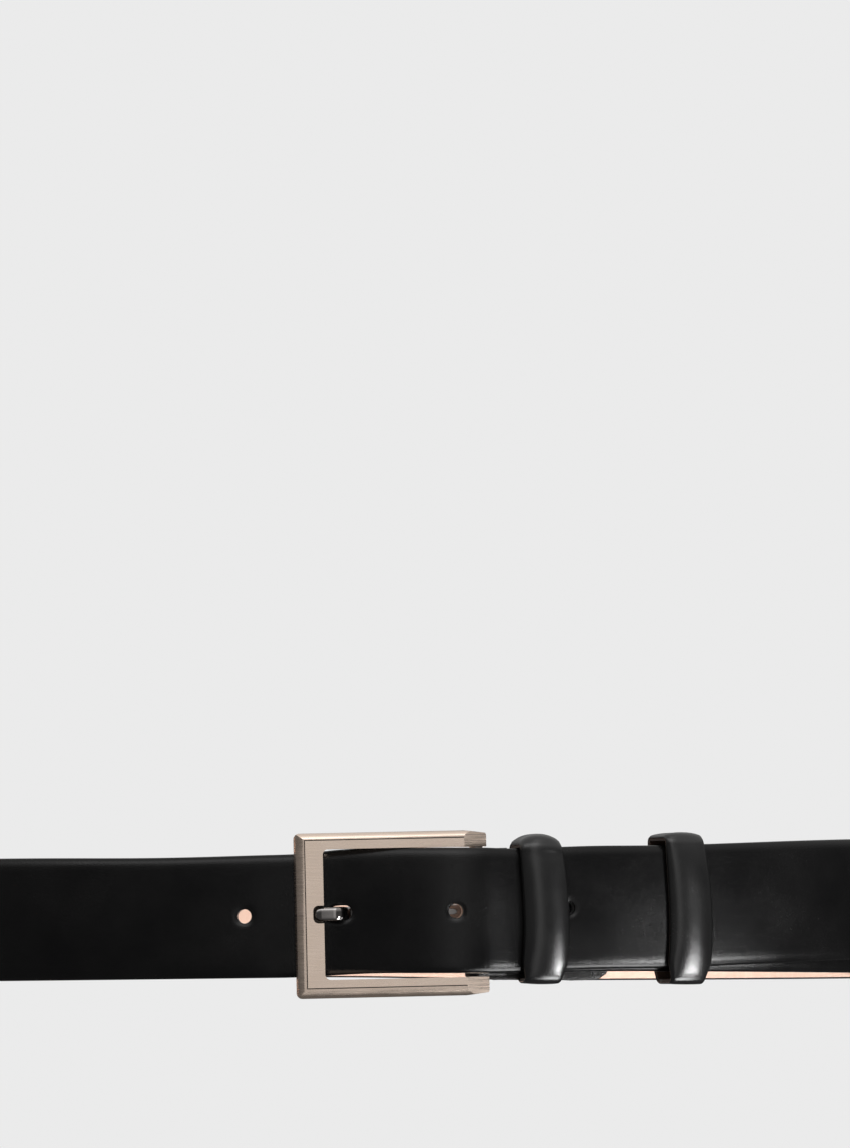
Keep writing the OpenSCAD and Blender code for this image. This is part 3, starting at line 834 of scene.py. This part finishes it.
def prong():
    """The prong: a rounded bar along its bent middle line, wider than thick, and rounded to its tip. Its eye
    is a band round the heel bar."""
    tip = PRONG_ROUND_FROM + PRONG_TIP_L * (np.cos(np.linspace(0.1, math.pi / 2 - 0.02, 9)) - 1)
    x = np.concatenate([np.linspace(PRONG_START, PRONG_ROUND_FROM, 70), tip])
    dip = smooth((PRONG_DIP_FROM - x) / (PRONG_DIP_FROM - PRONG_DIP_TO))
    rise = smooth((PRONG_DIP_TO - x) / (PRONG_DIP_TO - PRONG_RISE_TO))
    w = FOLD_R + (PRONG_LOW - FOLD_R) * dip + (PRONG_HIGH - PRONG_LOW) * rise
    px, py = oval(np.arcsin(x / LOOP_HALF), w)
    path = np.stack([px, py + LOOP_Y, np.full(len(x), MID_Z + PRONG_LIFT)], axis=-1)
    ahead = np.gradient(path, axis=0)
    ahead /= np.linalg.norm(ahead, axis=1)[:, None]
    up = np.tile([0.0, 0.0, 1.0], (len(x), 1))
    past = np.clip((PRONG_ROUND_FROM - x) / PRONG_TIP_R, 0, None)
    round_off = np.sqrt(np.clip(1 - past ** 2, 0.02, 1))
    swell = np.stack([round_off, 0.55 + 0.45 * round_off], axis=-1)[:, None]
    profile = squared_oval(PRONG_HALF_W, PRONG_HALF_T, 0.62, 0.8) * swell
    bar = sweep("prong_bar", path, up, np.cross(ahead, up), profile, smooth_angle=70)

    around = np.linspace(0, 2 * math.pi, 49)[:-1]
    radial = np.stack([np.cos(around), np.sin(around), 0 * around], axis=-1)
    centres = HEEL + EYE_R * radial + np.array([0, 0, NOTCH_LIFT])
    ring = squared_oval(EYE_HALF_T, EYE_HALF_W, 0.6, 0.6)
    upright = np.tile([0.0, 0.0, 1.0], (len(around), 1))
    eye = sweep("prong_eye", centres, radial, upright, ring, closed=True, smooth_angle=70)
    for part in (bar, eye):
        co = np.empty(len(part.data.vertices) * 3)
        part.data.vertices.foreach_get("co", co)
        part.data.vertices.foreach_set("co", level_to_buckle(co.reshape(-1, 3)).ravel())
    # bar and eye take the darkened nickel: painted dark reflection
    dress(bar, PRONG_NICKEL_PAINTED_DARK, body="prong", replaces=["prong"])
    dress(eye, PRONG_NICKEL_PAINTED_DARK, body="prong")


prong()


# ======================================================================================
# Keepers: domed bands over padding, with a brown lining
# ======================================================================================

KEEPER_AT = {"fixed": 55.6 * MM, "free": 89.8 * MM}
KEEPER_HALF_W = 5.8 * MM
KEEPER_LINING_T = 0.6 * MM
KEEPER_CLEAR = 0.25 * MM                   # between the lining and the straps it holds
CORNER_ROUND = 1.3 * MM                    # corners of the ring that the band is built on
FRONT_ROOM, BACK_ROOM, FOOT_ROOM = 1.1 * MM, 0.8 * MM, 0.65 * MM      # the padded band's thickness
FOOT_LIFT = 0.4 * MM
BOW, BOW_MID, BOW_HALF = 1.3 * MM, 2 * MM, 18.5 * MM
CUT_EDGE = 0.5 * MM                        # thickness of the band's leather at its two edges


def ring_path(low, high, radius, count):
    """A rectangle with round corners as [outwards, up], evenly stepped, and the outward normals."""
    corners = [(high[0] - radius, high[1] - radius), (low[0] + radius, high[1] - radius),
               (low[0] + radius, low[1] + radius), (high[0] - radius, low[1] + radius)]
    dense, normals = [], []
    for k, centre in enumerate(corners):
        angle = np.radians(np.linspace(90 * k, 90 * k + 90, 30))
        out = np.stack([np.cos(angle), np.sin(angle)], axis=-1)
        arc = np.array(centre) + radius * out
        side_end = np.array(corners[(k + 1) % 4]) + radius * out[-1]
        side = np.linspace(arc[-1], side_end, 40)[1:-1]
        dense += [arc, side]
        normals += [out, np.tile(out[-1], (len(side), 1))]
    dense, normals = np.concatenate(dense), np.concatenate(normals)
    dense, normals = np.vstack([dense, dense[:1]]), np.vstack([normals, normals[:1]])
    run = np.concatenate([[0], np.cumsum(np.hypot(*np.diff(dense.T)))])
    at = np.linspace(0, run[-1], count + 1)[:-1]
    points = np.stack([np.interp(at, run, dense[:, k]) for k in (0, 1)], axis=-1)
    n = np.stack([np.interp(at, run, normals[:, k]) for k in (0, 1)], axis=-1)
    return points, n / np.linalg.norm(n, axis=1)[:, None]


def band_room(height, normal, top_room, foot_room):
    """The band's thickness round the ring: each side's own, bowed at the front, and eased at the corners."""
    nx, nz = normal.T
    bow = BOW * (1 - np.abs(np.clip((height - BOW_MID) / BOW_HALF, -1, 1)) ** 3)
    room = (np.clip(nx, 0, 1) ** 2 * (FRONT_ROOM + bow) + np.clip(-nx, 0, 1) ** 2 * BACK_ROOM
            + np.clip(nz, 0, 1) ** 2 * top_room + np.clip(-nz, 0, 1) ** 2 * foot_room)
    kernel = np.hanning(15) / np.hanning(15).sum()
    return np.convolve(np.concatenate([room[-7:], room, room[:7]]), kernel, "valid")


def keeper(name, body, raised=0.0):
    """One keeper: its domed band and its lining, set round the two straps. raised is how much taller it is
    inside than the design's, to leave the rising tail room as the keeper slides."""
    band_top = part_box(f"{name}_keeper_band")[1][2]
    lining_low, lining_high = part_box(f"{name}_keeper_lining")
    turn = math.asin(KEEPER_AT[name] / LOOP_HALF)
    ahead = np.array([LOOP_HALF * math.cos(turn), LOOP_DEEP * math.sin(turn), 0])
    ahead /= np.linalg.norm(ahead)
    out = np.array([ahead[1], -ahead[0], 0])
    up = np.array([0, 0, 1.0])
    foot = np.array([*oval(turn, 0), 0]) + np.array([0, LOOP_Y, 0])
    ring_low = np.array([-FOLD_T - KEEPER_CLEAR - KEEPER_LINING_T,
                         lining_low[2] + FOOT_LIFT - 0.25 * raised])
    ring_high = np.array([TAIL_OVER_STRAP + STRAP_T + KEEPER_CLEAR + KEEPER_LINING_T,
                          lining_high[2] + raised])
    base, normal = ring_path(ring_low, ring_high, CORNER_ROUND, 220)
    height = base[:, 1] - MID_Z
    room = band_room(height, normal, band_top - lining_high[2] - 0.4 * raised, FOOT_ROOM - 0.25 * raised)

    # across the band: cut edges of even thickness, and a dome between them
    u = np.linspace(-1, 1, 25)
    dome = np.clip(1 - np.abs(u) ** 2.2, 0, 1) ** 0.75
    edge = np.minimum(CUT_EDGE, room)[:, None]
    rise = edge * (0.4 + 0.6 * np.sqrt(1 - u ** 16)) + (room[:, None] - edge) * dome
    outer = np.stack([np.broadcast_to(u * KEEPER_HALF_W, rise.shape), rise], axis=-1)
    under = np.stack([np.linspace(1, -1, 9) * KEEPER_HALF_W, np.zeros(9)], axis=-1)
    profile = np.concatenate([outer, np.broadcast_to(under, (len(room), 9, 2))], axis=1)

    # the band narrows and leans at the top and at the foot
    share = height / (18 * MM)
    taper = 1 - 0.12 * np.clip(share, 0, 1) ** 3 - 0.22 * smooth((-share - 0.6) / 0.33)
    profile[..., 0] *= taper[:, None]
    back = smooth((3 * MM - base[:, 0]) / (4 * MM))
    low = np.clip(-share, 0, 1) ** 2
    lean = -1.05 * MM * share ** 2 - 0.65 * MM * share + (1.1 * back - 0.75) * MM * low

    centres = foot + base[:, :1] * out + base[:, 1:] * up + lean[:, None] * ahead
    ups = normal[:, :1] * out + normal[:, 1:] * up
    sides = np.tile(ahead, (len(base), 1))
    band = sweep(f"{name}_keeper", centres, sides, ups, profile, closed=True, smooth_angle=50)
    dress(band, KEEPER_LEATHER, body=body,
          replaces=[f"{name}_keeper_band", f"{name}_keeper_padding"])

    t, w, slack = KEEPER_LINING_T, KEEPER_HALF_W - 0.25 * MM, 0.02 * MM
    section = np.array([[-w, -t], [0.3 * MM - w, -t], [w - 0.3 * MM, -t], [w, -t], [w, -slack], [-w, -slack]])
    sections = section * np.stack([taper, np.ones_like(taper)], axis=-1)[:, None]
    lining = sweep(f"{name}_keeper_inside", centres, sides, ups, sections, closed=True)
    dress(lining, KEEPER_LINING, body=body, replaces=[f"{name}_keeper_lining"])


keeper("fixed", "root")
keeper("free", "free_keeper", raised=0.95 * MM)


# ======================================================================================
# Floor, lights and camera
# ======================================================================================

BUCKLE_FOOT = np.array([-3.9 * MM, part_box("buckle_frame")[0][1], 0.0])
FLOOR_RUN = STRAP_BACK_Y - 2 * MM - BUCKLE_FOOT[1]
FLOOR_SLOPE = (MID_Z - HALF_W) / FLOOR_RUN     # the buckle holds the front up
FLOOR_UP = Vector((0, -FLOOR_SLOPE, 1)).normalized()
AHEAD = (Vector((0, 1, 0)) - FLOOR_UP * FLOOR_UP.y).normalized()
RIGHT = AHEAD.cross(FLOOR_UP)
BACKDROP = 0.83
FLOOR_GAP = 1 * MM                         # leaves room for the part of the back that hangs lower
FLOOR_HALF = 12.0


def floor():
    """A wide pale floor just under the buckle's foot and the strap's edge at the back. The camera sees it as
    plain as the backdrop, and the belt is lit by it."""
    low = Vector(BUCKLE_FOOT) - FLOOR_UP * FLOOR_GAP
    corners = [low + (RIGHT * i + AHEAD * j) * FLOOR_HALF for i, j in ((-1, -1), (1, -1), (1, 1), (-1, 1))]
    mesh = bpy.data.meshes.new("floor")
    mesh.from_pydata([tuple(c) for c in corners], [], [(0, 1, 2, 3)])
    obj = bpy.data.objects.new("floor", mesh)
    bpy.context.scene.collection.objects.link(obj)
    material, shader, w = new_material("pale_floor")
    nodes = material.node_tree.nodes
    shader["Base Color"].default_value = (0.85, 0.85, 0.85, 1)
    shader["Roughness"].default_value = 0.9
    shader["Specular IOR Level"].default_value = 0.0
    glow = w.node("Emission", {"Color": (BACKDROP, BACKDROP, BACKDROP, 1), "Strength": 1.0})
    seen = w.node("MixShader", {0: w.node("LightPath").outputs["Is Camera Ray"],
                                1: nodes["Principled BSDF"].outputs[0], 2: glow.outputs[0]})
    w.put(seen.outputs[0], nodes["Material Output"].inputs["Surface"])
    mesh.materials.append(material)
    obj.visible_glossy = False
    obj.visible_shadow = False


def area_light(name, place, target, size, power, spread=180):
    """A soft rectangular light at a place, turned to a target, with a beam as wide as its spread."""
    light = bpy.data.lights.new(name, "AREA")
    light.shape = "RECTANGLE"
    light.size, light.size_y = size
    light.energy = power
    light.spread = math.radians(spread)
    obj = bpy.data.objects.new(name, light)
    bpy.context.scene.collection.objects.link(obj)
    obj.location = place
    obj.rotation_euler = (Vector(target) - Vector(place)).to_track_quat("-Z", "Y").to_euler()
    obj.visible_camera = False


def world():
    """A plain backdrop for the camera. For everything else, a dim studio with a tall panel just right of the
    front, and brighter above."""
    scene = bpy.context.scene
    scene.world = bpy.data.worlds.new("studio")
    scene.world.use_nodes = True
    tree = scene.world.node_tree
    w = Wiring(tree)
    backdrop = tree.nodes["Background"]
    backdrop.inputs["Color"].default_value = (BACKDROP, BACKDROP, BACKDROP, 1)
    direction = w.node("SeparateXYZ", {0: w.node("TexCoord").outputs["Generated"]}).outputs
    ahead = w.fit(direction["Y"], 0.1, -0.4)
    strip = w.math("MULTIPLY", w.fit(direction["X"], -0.04, 0.10), w.fit(direction["X"], 0.35, 0.22))
    low_end = w.fit(direction["Z"], -0.75, -0.2)
    front = w.math("MULTIPLY", w.math("MULTIPLY", ahead, strip), w.math("MULTIPLY", low_end, 0.58))
    above = w.fit(direction["Z"], 0.12, 0.5, 0.0, 0.56)
    around = w.node("Background", {"Color": (1.0, 0.99, 0.98, 1)})
    w.put(w.math("ADD", w.math("ADD", front, above), 0.10), around.inputs["Strength"])
    camera_sees = w.node("LightPath").outputs["Is Camera Ray"]
    mix = w.node("MixShader", {0: camera_sees, 1: around.outputs[0], 2: backdrop.outputs[0]})
    tree.links.new(mix.outputs[0], tree.nodes["World Output"].inputs["Surface"])


def camera():
    """A long lens a metre and a half away, just above the table, looking slightly up."""
    distance, height, pitch, at_x = 1.5, 37.35 * MM, math.radians(2.5), 28 * MM
    start = Vector((at_x, BUCKLE_FOOT[1] - distance, 0))
    on_floor = start - FLOOR_UP * ((start - Vector(BUCKLE_FOOT)).dot(FLOOR_UP) / FLOOR_UP.z)
    data = bpy.data.cameras.new("camera")
    data.sensor_width = 36
    data.lens = 194.268
    data.clip_start, data.clip_end = 0.05, 60
    obj = bpy.data.objects.new("camera", data)
    bpy.context.scene.collection.objects.link(obj)
    forward = AHEAD * math.cos(pitch) + FLOOR_UP * math.sin(pitch)
    up = RIGHT.cross(forward)
    turn = Matrix((RIGHT, up, -forward)).transposed()
    obj.matrix_world = Matrix.Translation(on_floor + FLOOR_UP * height) @ turn.to_4x4()
    bpy.context.scene.camera = obj


floor()
world()
camera()
area_light("top_softbox", (-0.15, -1.0, 0.75), (0.0, -0.1, 0.0), (1.2, 0.5), 1.8)
area_light("right_low_softbox", (0.54, -0.465, -0.18), (0.075, -0.11, 0.015), (0.15, 0.12), 2.2)
area_light("inside_softbox", (0.15, -0.15, 0.35), (0.15, 0.11, 0.0), (0.2, 0.06), 0.045, spread=25)
area_light("under_softbox", (0.34, -0.33, -0.36), (0.06, -0.11, 0.0), (0.24, 0.2), 1.6)
bpy.context.scene.view_settings.view_transform = "Standard"
bpy.context.scene.view_settings.look = "None"
